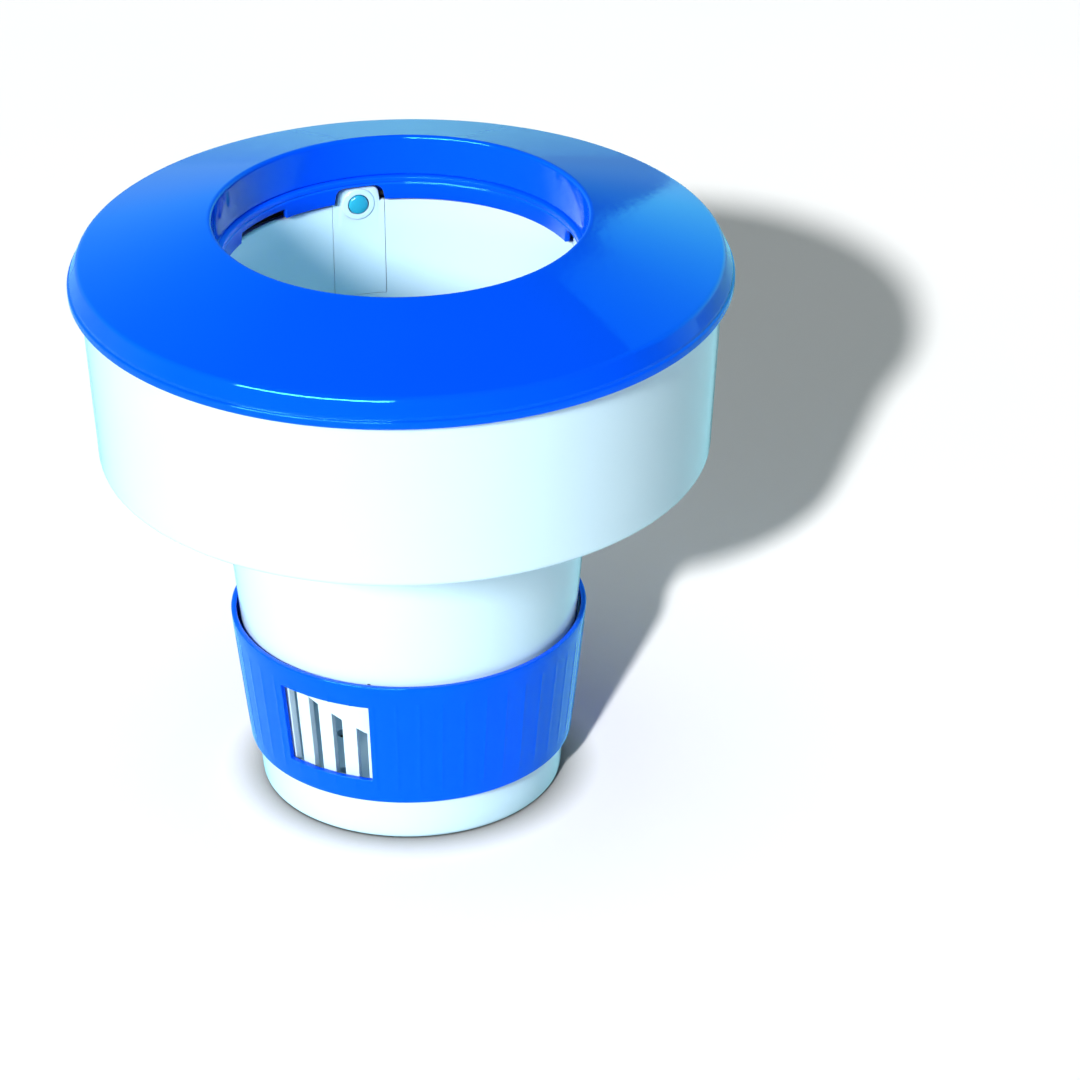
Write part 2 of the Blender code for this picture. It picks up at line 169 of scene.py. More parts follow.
def spread(marks, step=STEP):
    """Angles once round, no further apart than the step, with every mark among them."""
    marks = sorted({round(mark % 360, 4) for mark in marks})
    angles = []
    for start, end in zip(marks, marks[1:] + [marks[0] + 360]):
        pieces = max(1, math.ceil((end - start) / step))
        angles += [start + (end - start) * i / pieces for i in range(pieces)]
    return angles


def braced(outline, distance=0.4):
    """A closed outline with extra points near the ends of its long straights, which keep them flat."""
    points = []
    for start, end in zip(outline, outline[1:] + outline[:1]):
        points.append(start)
        length = math.dist(start, end)
        if length > 5 * distance:
            for share in (distance / length, 1 - distance / length):
                points.append(tuple(a + (b - a) * share for a, b in zip(start, end)))
    return points


def rounded(corners, pieces=6):
    """An outline of (radius, height, rounding) corners, each swept round by its own rounding."""
    points = []
    for i, (x, y, rounding) in enumerate(corners):
        here = Vector((x, y))
        if not rounding:
            points.append((x, y))
            continue
        back = (Vector(corners[i - 1][:2]) - here).normalized()
        ahead = (Vector(corners[(i + 1) % len(corners)][:2]) - here).normalized()
        half = back.angle(ahead) / 2
        centre = here + (back + ahead).normalized() * (rounding / math.sin(half))
        start = here + back * (rounding / math.tan(half)) - centre
        sweep = start.angle_signed(here + ahead * (rounding / math.tan(half)) - centre)
        for k in range(pieces + 1):
            turned = centre + Matrix.Rotation(-sweep * k / pieces, 2) @ start
            points.append((turned.x, turned.y))
    return points


def gap_between(angle, centre):
    """Degrees from a centre to an angle, the short way round."""
    return abs((angle - centre + 180) % 360 - 180)


def shade(mesh):
    """Smooth shading that keeps sharp corners sharp."""
    mesh.shade_smooth()
    mesh.set_sharp_from_angle(angle=math.radians(40))


def finish_mesh(name, shape):
    """Turns a shape into a shaded object, without its loose and doubled points."""
    loose = [v for v in shape.verts if not v.link_faces]
    bmesh.ops.delete(shape, geom=loose, context="VERTS")
    bmesh.ops.remove_doubles(shape, verts=shape.verts, dist=0.000002)
    bmesh.ops.recalc_face_normals(shape, faces=shape.faces)
    mesh = bpy.data.meshes.new(name)
    shape.to_mesh(mesh)
    shape.free()
    shade(mesh)
    obj = bpy.data.objects.new(name, mesh)
    bpy.context.scene.collection.objects.link(obj)
    return obj


class Shell:
    """A wall round the axis: a grid of one profile at many angles, with openings cut along the grid."""

    def __init__(self, angles, profile_at, full=True, closed=True):
        self.shape = bmesh.new()
        self.angles = angles
        self.columns = [[self.shape.verts.new(polar(a, r, z)) for r, z in profile_at(a)] for a in angles]
        self.full = full
        self.closed = closed
        self.gone = set()
        self.walls = []

    def column(self, angle):
        return min(range(len(self.angles)), key=lambda i: gap_between(self.angles[i], angle))

    def span(self, start, end):
        """The columns from one angle to another, going up."""
        first, last = self.column(start), self.column(end)
        count = (last - first) % len(self.angles)
        return [(first + i) % len(self.angles) for i in range(count + 1)]

    def open(self, start, end, runs):
        """Cuts an opening between two angles. Each run is a stretch of the profile that goes."""
        columns = self.span(start, end)
        for i in columns[:-1]:
            self.gone |= {(i, j) for a, b in runs for j in range(a, b)}
        edges = [runs[0]] if len(runs) == 1 else [(runs[0][0], runs[1][1]), (runs[0][1], runs[1][0])]
        for i, k in zip(columns, columns[1:]):
            here, there = self.columns[i], self.columns[k]
            self.walls += [(here[a], there[a], there[b], here[b]) for a, b in edges]
        for i in (columns[0], columns[-1]):
            self.walls.append([self.columns[i][j] for a, b in runs for j in range(a, b + 1)])

    def build(self, name, edge=0.0):
        """Makes the object. The sharp rims of its openings get a small bevel of the edge size."""
        columns, shape = self.columns, self.shape
        count = len(columns)
        depth = len(columns[0])
        for i in range(count if self.full else count - 1):
            k = (i + 1) % count
            for j in range(depth if self.closed else depth - 1):
                if (i, j) not in self.gone:
                    m = (j + 1) % depth
                    shape.faces.new((columns[i][j], columns[k][j], columns[k][m], columns[i][m]))
        if not self.full:
            shape.faces.new(columns[0])
            shape.faces.new(columns[-1])
        cut = [shape.faces.new(wall) for wall in self.walls]
        if edge and cut:
            rims = {e for face in cut for e in face.edges if e.calc_length() > 0.00005}
            rims = [e for e in rims if e.calc_face_angle(0.0) > math.radians(35)]
            bmesh.ops.bevel(shape, geom=rims, offset=edge * MM, segments=2, profile=0.5, affect="EDGES",
                            clamp_overlap=True)
        return finish_mesh(name, shape)


def tongue_height(angle, centre, half, low, high, rounding, radius, draft=0.35):
    """Height at an angle of an upright tongue with round top corners and slightly drafted sides."""
    away = gap_between(angle, centre) - math.degrees(half / radius)
    if away > -0.001:
        return high - rounding + (low - high + rounding) * min(away / draft, 1.0)
    inside = min(-math.radians(away) * radius, rounding)
    return high - rounding + math.sqrt(rounding ** 2 - (rounding - inside) ** 2)


def tongue_marks(centre, half, rounding, radius, draft=0.35):
    """The angles where a tongue's outline turns."""
    edge = math.degrees(half / radius)
    marks = [centre - edge - draft, centre + edge + draft]
    for k in range(7):
        inward = math.degrees(rounding / radius) * (1 - math.cos(math.radians(15 * k)))
        marks += [centre - edge + inward, centre + edge - inward]
    return marks


def carve(obj, cutters, operation="DIFFERENCE"):
    """Cuts tools from an object and keeps the result as its mesh."""
    for cutter in cutters:
        step = obj.modifiers.new(cutter.name, "BOOLEAN")
        step.operation = operation
        step.solver = "EXACT"
        step.object = cutter
    graph = bpy.context.evaluated_depsgraph_get()
    mesh = bpy.data.meshes.new_from_object(obj.evaluated_get(graph))
    obj.modifiers.clear()
    obj.data = mesh
    mesh.name = obj.name
    shade(mesh)
    for cutter in cutters:
        bpy.data.objects.remove(cutter)


def turned_piece(name, profile, place, steps=48):
    """A small profile turned about its own axis, which then points along a place's Z."""
    shape = bmesh.new()
    columns = []
    for i in range(steps):
        turn = 2 * math.pi * i / steps
        columns.append([shape.verts.new((r * MM * math.cos(turn), r * MM * math.sin(turn), z * MM))
                        for r, z in profile])
    for i in range(steps):
        k = (i + 1) % steps
        for j in range(len(profile)):
            m = (j + 1) % len(profile)
            if profile[j][0] > 0 or profile[m][0] > 0:
                shape.faces.new((columns[i][j], columns[k][j], columns[k][m], columns[i][m]))
    bmesh.ops.remove_doubles(shape, verts=shape.verts, dist=0.000002)
    bmesh.ops.dissolve_degenerate(shape, edges=shape.edges, dist=0.000002)
    bmesh.ops.transform(shape, matrix=place, verts=shape.verts)
    return finish_mesh(name, shape)


def canister_radius(height):
    """Outside radius of the canister: straight in the float, tapered below it."""
    if height >= TAPER_TOP:
        return CANISTER_RADIUS
    return BASE_RADIUS + (CANISTER_RADIUS - BASE_RADIUS) * height / TAPER_TOP


def ring_radius(height):
    """Outside radius of the dosing ring's tapered wall."""
    share = (height - RING_BOTTOM) / (FLARE_BOTTOM - RING_BOTTOM)
    return RING_LOW_RADIUS + (RING_TOP_RADIUS - RING_LOW_RADIUS) * share


def make_cap():
    """The cap: its lip and slope, then the skirt with its groove and bead, then the inside."""
    slope = math.tan(math.radians(CAP_SLOPE))
    lean = math.tan(math.radians(SKIRT_LEAN))
    lip_top = SHOULDER_HEIGHT + (SHOULDER_RADIUS - LIP_RADIUS) * slope
    shoulder = SHOULDER_RADIUS + 0.95
    shoulder_height = SHOULDER_HEIGHT - 0.95 * slope
    groove_radius = SKIRT_RADIUS - SKIRT_BEAD
    groove_top = shoulder_height - (groove_radius - shoulder) / lean
    corners = [
        (INNER_SKIRT_RADIUS + 0.55, 190.6, 0.0),
        (LIP_RADIUS + 0.1, 191.6, 1.0),
        (shoulder, shoulder_height, 2.2),
        (groove_radius, groove_top, 0.15),
        (groove_radius + 0.05, groove_top - 0.9, 0.2),
        (SKIRT_RADIUS, groove_top - 1.15, 0.45),
        (SKIRT_RADIUS, SKIRT_BOTTOM, 0.95),
        (DRUM_TOP_RADIUS + 1.0, SKIRT_BOTTOM, 0.4),
        (DRUM_TOP_RADIUS + 0.4, DRUM_TOP, 0.0),
        (shoulder - 1.4, shoulder_height - 1.9, 0.8),
        (LIP_RADIUS + FLOAT_WALL, lip_top - FLOAT_WALL - 0.9, 0.8),
        (INNER_SKIRT_RADIUS + FLOAT_WALL, INNER_SKIRT_BOTTOM, 0.3),
        (INNER_SKIRT_RADIUS, INNER_SKIRT_BOTTOM, 0.5),
    ]
    lip = rounded([
        (INNER_SKIRT_RADIUS + 0.9, INNER_SKIRT_BOTTOM + 9.0, 0.0),
        (LIP_RADIUS + 0.1, lip_top, 1.1),
        (shoulder, shoulder_height, 2.2),
        (shoulder + 2.0, shoulder_height - 2.0 / lean, 0.0),
    ], 10)
    outline = rounded(corners, 8)
    skirt = next(i for i, point in enumerate(outline) if point[1] < shoulder_height - 1.5)
    profile = braced([(r, min(z, CAP_TOP)) for r, z in lip[1:-1] + outline[skirt:]])
    return Shell(spread([0]), lambda angle: profile).build("cap_shell")


def make_drum():
    """The drum, open at the top, with its inner sleeve."""
    inner_low = DRUM_LOW_RADIUS - FLOAT_WALL
    profile = braced(rounded([
        (DRUM_LOW_RADIUS, DRUM_BOTTOM, 1.8),
        (SLEEVE_RADIUS, DRUM_BOTTOM, 1.2),
        (SLEEVE_RADIUS, SLEEVE_TOP, 0.4),
        (SLEEVE_RADIUS + FLOAT_WALL, SLEEVE_TOP, 0.4),
        (SLEEVE_RADIUS + FLOAT_WALL, DRUM_BOTTOM + FLOAT_WALL, 1.0),
        (inner_low, DRUM_BOTTOM + FLOAT_WALL, 1.5),
        (DRUM_TOP_RADIUS - FLOAT_WALL, DRUM_TOP, 0.3),
        (DRUM_TOP_RADIUS, DRUM_TOP, 0.3),
    ], 8))
    return Shell(spread([0]), lambda angle: profile).build("drum_shell")


def make_collar():
    """The collar, with a fine groove, a notch in its lip for every lug and one wide relief."""
    lip_outside = COLLAR_RADIUS + COLLAR_LIP
    wall_inside = SLEEVE_RADIUS + FLOAT_WALL + 0.3
    shoulder = SLEEVE_TOP + 3.0
    relief_half = RELIEF_WIDTH / 2
    relief = RELIEF_START + relief_half
    notches = [(angle, NOTCH_HALF, NOTCH_TOP, 3.0) for angle in (*LUG_ANGLES, LATCH_ANGLE)]
    notches.append((relief, math.radians(relief_half) * COLLAR_RADIUS, RELIEF_TOP, 1.0))
    marks = [mark for centre, half, top, rounding in notches
             for mark in tongue_marks(centre, half, rounding, COLLAR_RADIUS)]

    def profile_at(angle):
        low = max(tongue_height(angle, centre, half, COLLAR_BOTTOM, top, rounding, COLLAR_RADIUS)
                  for centre, half, top, rounding in notches)
        return [
            (COLLAR_RADIUS, low + 0.3),
            (COLLAR_RADIUS, COLLAR_TOP - 2.1),
            (COLLAR_RADIUS + 0.3, COLLAR_TOP - 1.9),
            (COLLAR_RADIUS + 0.3, COLLAR_TOP - 1.6),
            (COLLAR_RADIUS, COLLAR_TOP - 1.4),
            (COLLAR_RADIUS, COLLAR_TOP - 0.5),
            (COLLAR_RADIUS + 0.15, COLLAR_TOP - 0.15),
            (COLLAR_RADIUS + 0.5, COLLAR_TOP),
            (COLLAR_OUTER_RADIUS - 0.4, COLLAR_TOP),
            (COLLAR_OUTER_RADIUS, COLLAR_TOP - 0.4),
            (COLLAR_OUTER_RADIUS, COLLAR_WALL_BOTTOM),
            (wall_inside, COLLAR_WALL_BOTTOM),
            (wall_inside, shoulder),
            (SLEEVE_RADIUS, shoulder),
            (SLEEVE_RADIUS, COLLAR_WEB_BOTTOM),
            (lip_outside, COLLAR_WEB_BOTTOM),
            (lip_outside, low + 0.3),
            (lip_outside - 0.1, low + 0.1),
            (lip_outside - 0.3, low),
            (COLLAR_RADIUS + 0.3, low),
            (COLLAR_RADIUS + 0.1, low + 0.1),
        ]

    return Shell(spread(marks), profile_at).build("collar_shell")


def slot_line(angle):
    """Height of the slanting line that every slot stops at; it climbs back between the groups."""
    length = SLOT_PITCH * (SLOT_COUNT - 1)
    along = (angle - SLOT_FIRST_ANGLE) % 180
    if along > 160:
        along -= 180
    if along <= length + 4:
        return SLOT_FIRST_TOP - SLOT_TOP_FALL * along
    low = SLOT_FIRST_TOP - SLOT_TOP_FALL * (length + 4)
    return low + (SLOT_FIRST_TOP + 8 - low) * (along - length - 4) / (160 - length - 4)


def canister_rim(angle):
    """Height of the canister's rim: level between the lugs."""
    return max(tongue_height(angle, centre, LUG_HALF, RIM_HEIGHT, LUG_TOP, LUG_ROUND, CANISTER_RADIUS)
               for centre in LUG_ANGLES)


def rim_points(inside, outside, height):
    """A wall's rounded top, from its outer side to its inner side."""
    return [(outside, height - 0.6), (outside - 0.17, height - 0.17), (outside - 0.6, height),
            (inside + 0.6, height), (inside + 0.17, height - 0.17), (inside, height - 0.6)]


def make_canister():
    """The cup: base groove, two groups of slots, two beads, rim lugs, the finger's opening and drains."""
    inside = CANISTER_RADIUS - CANISTER_WALL
    slot_half = math.degrees(SLOT_HALF / 50.5)
    slots = [group + SLOT_FIRST_ANGLE + SLOT_PITCH * i for group in (0, 180) for i in range(SLOT_COUNT)]
    opening = math.degrees((FINGER_HALF + FINGER_SLIT) / CANISTER_RADIUS)
    marks = [angle + side for angle in slots for side in (-slot_half, slot_half)]
    marks += [LATCH_ANGLE - opening, LATCH_ANGLE + opening]
    for angle in LUG_ANGLES:
        marks += tongue_marks(angle, LUG_HALF, LUG_ROUND, CANISTER_RADIUS)
    foot = rounded([(FOOT_RADIUS - 1.0, FOOT_RECESS, 0.0), (FOOT_RADIUS, 0.0, 0.4),
                    (BASE_RADIUS, 0.0, 2.0), (canister_radius(6.0), 6.0, 0.0)], 8)
    bead = [(1.6, 0.0), (1.2, 0.5), (0.9, 1.5), (0.55, 2.1), (0.0, 2.35), (-0.55, 2.1), (-0.9, 1.5),
            (-1.2, 0.5), (-1.6, 0.0)]
    heights = {}

    def profile_at(angle):
        line = slot_line(angle)
        above = line + (SLOT_TOPS_LEVEL - line) * 0.5
        rim = canister_rim(angle)
        points = [(0.0, FOOT_RECESS), *foot, (canister_radius(16.8), 16.8), (47.3, 17.1), (47.3, 19.9),
                  (canister_radius(20.2), 20.2)]
        heights["slot_low"] = len(points)
        low_rows = [SLOT_BOTTOM + (line - SLOT_BOTTOM) * k / 5 for k in range(6)]
        points += [(canister_radius(z), z) for z in low_rows]
        heights["slot_high"] = len(points) - 1
        points += [(canister_radius(z), z) for z in (above, SLOT_TOPS_LEVEL, 90.0, TAPER_TOP - 1.5)]
        points += [(CANISTER_RADIUS + out, LOWER_BEAD - up) for up, out in bead]
        heights["finger_outer"] = len(points)
        points += [(CANISTER_RADIUS, FINGER_ROOT), (CANISTER_RADIUS, 150.0)]
        points += [(CANISTER_RADIUS + out, UPPER_BEAD - up) for up, out in bead]
        points += rim_points(inside, CANISTER_RADIUS, rim)
        points += [(inside, 160.0), (inside, FINGER_ROOT)]
        heights["finger_inner"] = len(points) - 1
        points += [(inside, TAPER_TOP)]
        points += [(canister_radius(z) - CANISTER_WALL, z) for z in (90.0, SLOT_TOPS_LEVEL, above)]
        heights["slot_inner_high"] = len(points)
        points += [(canister_radius(z) - CANISTER_WALL, z) for z in reversed(low_rows)]
        heights["slot_inner_low"] = len(points) - 1
        floor = FOOT_RECESS + FLOAT_WALL
        low = canister_radius(floor) - CANISTER_WALL
        points += [(low + 0.1, floor + 2.2), (low - 0.35, floor + 0.9), (low - 0.9, floor + 0.35),
                   (low - 2.2, floor), (0.0, floor)]
        return points

    shell = Shell(spread(marks, 1.0), profile_at, closed=False)
    for angle in slots:
        shell.open(angle - slot_half, angle + slot_half,
                   [(heights["slot_low"], heights["slot_high"]),
                    (heights["slot_inner_high"], heights["slot_inner_low"])])
    shell.open(LATCH_ANGLE - opening, LATCH_ANGLE + opening,
               [(heights["finger_outer"], heights["finger_inner"])])
    canister = shell.build("canister_shell", edge=0.22)
    bore = [(0.0, -4.0), (DRAIN_RADIUS, -4.0), (DRAIN_RADIUS, 8.0), (0.0, 8.0)]
    carve(canister, [turned_piece(f"drain_{i}", bore, at_angle(360 // DRAIN_COUNT * i, DRAIN_CIRCLE), 32)
                     for i in range(DRAIN_COUNT)])
    return canister


def make_finger():
    """The finger, with a round boss on its inner face and the button's hole through it."""
    inside = CANISTER_RADIUS - CANISTER_WALL
    half = math.degrees(FINGER_HALF / CANISTER_RADIUS)
    marks = tongue_marks(LATCH_ANGLE, LUG_HALF, LUG_ROUND, CANISTER_RADIUS)
    angles = [a for a in spread([*marks, LATCH_ANGLE - half, LATCH_ANGLE + half], 0.7)
              if gap_between(a, LATCH_ANGLE) <= half + 0.001]
    root = FINGER_ROOT + FINGER_ROOT_GAP

    def profile_at(angle):
        top = tongue_height(angle, LATCH_ANGLE, LUG_HALF, RIM_HEIGHT, LUG_TOP, LUG_ROUND,
                            CANISTER_RADIUS)
        return [(inside, 160.0), (inside, root), (CANISTER_RADIUS, root), (CANISTER_RADIUS, 160.0),
                *rim_points(inside, CANISTER_RADIUS, top)]

    finger = Shell(angles, profile_at, full=False).build("finger_shell")
    boss = rounded([(0.0, -1.4, 0.0), (BOSS_RADIUS, -1.4, 0.0), (BOSS_RADIUS, 0.6, 0.35),
                    (0.0, 0.6, 0.0)], 5)
    carve(finger, [turned_piece("boss", boss, button_place())], "UNION")
    bore = BUTTON_RADIUS + BUTTON_GAP
    hole = [(0.0, -6.0), (bore, -6.0), (bore, 3.0), (0.0, 3.0)]
    carve(finger, [turned_piece("button_hole", hole, button_place())])
    return finger


def button_place():
    """The button's frame on the finger's inner face, with Z towards the axis."""
    upright = Matrix.Rotation(math.radians(-90), 4, "X")
    return at_angle(LATCH_ANGLE, CANISTER_RADIUS - CANISTER_WALL, BUTTON_HEIGHT) @ upright


def make_button():
    """The button: a low dome on a short stem."""
    dome = [(BUTTON_RADIUS * math.sin(math.radians(a)), 0.75 + 0.75 * math.cos(math.radians(a)))
            for a in range(90, 0, -9)]
    profile = [(0.0, -1.9), (BUTTON_RADIUS - 0.2, -1.9), (BUTTON_RADIUS, -1.7), *dome, (0.0, 1.5)]
    return turned_piece("button_shell", profile, button_place())


def make_ring():
    """The dosing ring, with its two windows and low grip ribs."""
    ribs = [RIB_FIRST_ANGLE + RIB_PITCH * i for i in range(RIB_COUNT)]
    marks = [rib + RIB_HALF * side for rib in ribs for side in (-1, -0.5, 0, 0.5, 1)]
    windows = [WINDOW_ANGLE, WINDOW_ANGLE + 180]
    edges = [angle + side for angle in windows for side in (-WINDOW_HALF, WINDOW_HALF)]
    marks = [m for m in marks if all(gap_between(m, e) > 0.7 for e in edges)] + edges
    rows = [FLARE_BOTTOM - 1.2, RIB_TOP + RIB_RUNOUT, RIB_TOP, WINDOW_TOP, 46.0, 41.0, 36.0, 31.0, 27.0,
            WINDOW_BOTTOM, RIB_BOTTOM + RIB_RUNOUT, RIB_BOTTOM]
    order = {}

    def raised(angle, height):
        """How far a rib stands out of the wall at an angle and a height."""
        away = min(gap_between(angle, rib) for rib in ribs) / RIB_HALF
        if away >= 1 or not RIB_BOTTOM < height < RIB_TOP + RIB_RUNOUT:
            return 0.0
        return RIB_HEIGHT * (1 + math.cos(math.pi * away)) / 2

    def profile_at(angle):
        points = rounded([
            (RIM_RADIUS - RIM_WIDTH, RING_TOP, 0.25),
            (RIM_RADIUS, RING_TOP, 0.35),
            (RING_TOP_RADIUS + 0.05, FLARE_BOTTOM, 0.0),
        ], 5)
        order["window_top"] = len(points) + rows.index(WINDOW_TOP)
        order["window_bottom"] = len(points) + rows.index(WINDOW_BOTTOM)
        points += [(ring_radius(z) + raised(angle, z), z) for z in rows]
        points += rounded([(ring_radius(17.0), 17.0, 0.0), (ring_radius(RING_BOTTOM), RING_BOTTOM, 0.55),
                           (ring_radius(RING_BOTTOM) - RING_WALL, RING_BOTTOM, 0.3),
                           (ring_radius(17.4) - RING_WALL, 17.4, 0.0)], 5)
        points += [(47.8, 18.1), (47.8, 18.9), (ring_radius(19.6) - RING_WALL, 19.6)]
        order["inner_bottom"] = len(points)
        points += [(ring_radius(z) - RING_WALL, z) for z in (WINDOW_BOTTOM, 31.0, 41.0, WINDOW_TOP)]
        order["inner_top"] = len(points) - 1
        points += [(RING_TOP_RADIUS - RING_WALL, FLARE_BOTTOM)]
        return points

    shell = Shell(spread(marks), profile_at)
    runs = [(order["window_top"], order["window_bottom"]), (order["inner_bottom"], order["inner_top"])]
    for angle in windows:
        shell.open(angle - WINDOW_HALF, angle + WINDOW_HALF, runs)
    return shell.build("ring_shell", edge=0.3)


class Looks:
    """A material's node tree, with short ways to add and join nodes."""

    def __init__(self, name):
        self.material = bpy.data.materials.new(name)
        self.material.use_nodes = True
        self.tree = self.material.node_tree
        self.shader = self.tree.nodes["Principled BSDF"]
        self.place = self.node("ShaderNodeTexCoord").outputs["Object"]

    def node(self, kind, **values):
        node = self.tree.nodes.new(kind)
        for name, value in values.items():
            setattr(node, name, value)
        return node

    def join(self, start, end):
        self.tree.links.new(start, end)

    def noise(self, scale, detail=3.0, stretch=None, roughness=0.5):
        """Noise at a number of features per metre, from 0 to 1."""
        texture = self.node("ShaderNodeTexNoise")
        texture.inputs["Scale"].default_value = scale
        texture.inputs["Detail"].default_value = detail
        texture.inputs["Roughness"].default_value = roughness
        source = self.place
        if stretch is not None:
            mapping = self.node("ShaderNodeMapping")
            mapping.inputs["Scale"].default_value = stretch
            self.join(source, mapping.inputs["Vector"])
            source = mapping.outputs["Vector"]
        self.join(source, texture.inputs["Vector"])
        return texture.outputs["Fac"]

    def ranged(self, value, low, high, start=0.3, end=0.7):
        """A value moved from one range to another."""
        node = self.node("ShaderNodeMapRange")
        node.inputs["From Min"].default_value = start
        node.inputs["From Max"].default_value = end
        node.inputs["To Min"].default_value = low
        node.inputs["To Max"].default_value = high
        self.join(value, node.inputs["Value"])
        return node.outputs["Result"]

    def sum(self, first, second, operation="ADD"):
        node = self.node("ShaderNodeMath", operation=operation)
        for value, end in ((first, node.inputs[0]), (second, node.inputs[1])):
            if isinstance(value, (int, float)):
                end.default_value = value
            else:
                self.join(value, end)
        return node.outputs[0]

    def mixed(self, share, first, second):
        """One colour turned into another by a share."""
        node = self.node("ShaderNodeMix", data_type="RGBA")
        self.join(share, node.inputs["Factor"])
        for value, end in ((first, node.inputs[6]), (second, node.inputs[7])):
            if isinstance(value, tuple):
                end.default_value = (*value, 1.0)
            else:
                self.join(value, end)
        return node.outputs[2]

    def bumped(self, height, strength, distance, normal=None):
        node = self.node("ShaderNodeBump")
        node.inputs["Strength"].default_value = strength
        node.inputs["Distance"].default_value = distance
        self.join(height, node.inputs["Height"])
        if normal is not None:
            self.join(normal, node.inputs["Normal"])
        return node.outputs["Normal"]


def moulded_plastic(name, colour, deep, pale, roughness, worn, seed=0.0, tint=(1.0, 1.0, 1.0),
                    ior=1.48):
    """Glossy moulded plastic: slow colour drift, faint scuffs, an orange-peel skin and rubbed edges."""
    looks = Looks(name)
    drift = looks.ranged(looks.noise(14.0 + seed, 2.0), 0.0, 1.0, 0.35, 0.65)
    body = looks.mixed(drift, deep, colour)
    rounding = looks.node("ShaderNodeBevel", samples=4)
    rounding.inputs["Radius"].default_value = 0.0004
    facing = looks.node("ShaderNodeNewGeometry").outputs["Normal"]
    alike = looks.node("ShaderNodeVectorMath", operation="DOT_PRODUCT")
    looks.join(rounding.outputs["Normal"], alike.inputs[0])
    looks.join(facing, alike.inputs[1])
    edge = looks.ranged(alike.outputs["Value"], worn, 0.0, 0.75, 0.99)
    looks.join(looks.mixed(edge, body, pale), looks.shader.inputs["Base Color"])
    patches = looks.ranged(looks.noise(42.0, 4.0), roughness - 0.01, roughness + 0.02)
    scuffs = looks.ranged(looks.noise(260.0, 2.0, (1.0, 1.0, 14.0), 0.6), 0.0, 0.05, 0.62, 0.8)
    rough = looks.sum(looks.sum(patches, scuffs), looks.sum(edge, 0.15, "MULTIPLY"))
    looks.join(rough, looks.shader.inputs["Roughness"])
    peel = looks.bumped(looks.noise(330.0, 2.0), 0.03, 0.0002, rounding.outputs["Normal"])
    grain = looks.bumped(looks.noise(2600.0, 2.0), 0.03, 0.00003, peel)
    looks.join(grain, looks.shader.inputs["Normal"])
    looks.shader.inputs["IOR"].default_value = ior
    looks.shader.inputs["Specular Tint"].default_value = (*tint, 1.0)
    return looks


def rubber(name):
    """Matt black rubber with a fine grain and a dusty bloom."""
    looks = Looks(name)
    bloom = looks.ranged(looks.noise(120.0, 5.0), 0.0, 0.6, 0.4, 0.75)
    black = looks.mixed(bloom, (0.018, 0.018, 0.02), (0.05, 0.05, 0.055))
    looks.join(black, looks.shader.inputs["Base Color"])
    looks.join(looks.ranged(looks.noise(300.0), 0.6, 0.8), looks.shader.inputs["Roughness"])
    looks.join(looks.bumped(looks.noise(1800.0, 3.0), 0.2, 0.0001), looks.shader.inputs["Normal"])
    return looks


def floor_paper(name):
    """White backdrop paper with a very fine tooth, darkened by a painted contact shadow right at the foot
    of what stands on it, and painted cyan for glossy rays.
    """
    looks = Looks(name)
    tone = looks.ranged(looks.noise(6.0, 2.0), 0.0, 1.0)
    paper = looks.mixed(tone, (0.845, 0.85, 0.85), (0.86, 0.86, 0.86))
    # Painted contact shadow: ambient occlusion over a short reach darkens the paper towards black at the
    # foot of the pieces.
    near = looks.node("ShaderNodeAmbientOcclusion", samples=12)
    near.inputs["Distance"].default_value = CONTACT_SHADOW_DISTANCE
    painted_shadow_share = looks.sum(near.outputs["AO"], 1.4, "POWER")
    paper = looks.mixed(painted_shadow_share, (0.0, 0.0, 0.0), paper)
    # Painted reflection: glossy rays see the paper cyan instead of white, so the plastics reflect a cyan
    # floor.
    glossy = looks.node("ShaderNodeLightPath").outputs["Is Glossy Ray"]
    looks.join(looks.mixed(glossy, paper, (0.26, 0.72, 0.82)), looks.shader.inputs["Base Color"])
    looks.join(looks.ranged(looks.noise(40.0), 0.85, 0.95), looks.shader.inputs["Roughness"])
    looks.join(looks.bumped(looks.noise(700.0, 2.0), 0.05, 0.0001), looks.shader.inputs["Normal"])
    looks.shader.inputs["Specular IOR Level"].default_value = 0.1
    return looks


def dress(obj, looks):
    """Gives an object one material."""
    obj.data.materials.clear()
    obj.data.materials.append(looks.material)


def place_piece(obj, looks, body, node):
    """Dresses a piece that stands for a CAD node and rides on a body."""
    dress(obj, looks)
    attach(obj, body)
    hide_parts(node)
    return obj


def add_light(name, kind, direction, distance, power, target=(0.0, 0.0, 0.12)):
    """A light in a direction from a target and aimed at it, with azimuth 0 at the front."""
    data = bpy.data.lights.new(name, kind)
    data.energy = power
    light = bpy.data.objects.new(name, data)
    bpy.context.scene.collection.objects.link(light)
    across, up = (math.radians(angle) for angle in direction)
    away = Vector((math.sin(across) * math.cos(up), -math.cos(across) * math.cos(up), math.sin(up)))
    light.location = Vector(target) + away * distance
    light.rotation_euler = (Vector(target) - light.location).to_track_quat("-Z", "Y").to_euler()
    light.visible_camera = False
    return light


def add_reflection(name, direction, distance, size, power):
    """A softbox that only shows in gloss, aimed at the cap."""
    light = add_light(name, "AREA", direction, distance, power, (0.0, 0.0, 0.18))
    light.data.shape = "RECTANGLE"
    light.data.size, light.data.size_y = size
    light.visible_diffuse = False


def lit_only(light, name, receivers):
    """Lets a light reach only some objects."""
    lit = bpy.data.collections.new(name)
    for receiver in receivers:
        lit.objects.link(receiver)
    light.light_linking.receiver_collection = lit


def make_floor():
    mesh = bpy.data.meshes.new("studio_floor")
    shape = bmesh.new()
    bmesh.ops.create_grid(shape, x_segments=4, y_segments=4, size=8.0)
    shape.to_mesh(mesh)
    shape.free()
    floor = bpy.data.objects.new("studio_floor", mesh)
    bpy.context.scene.collection.objects.link(floor)
    dress(floor, floor_paper("backdrop paper"))
    return floor


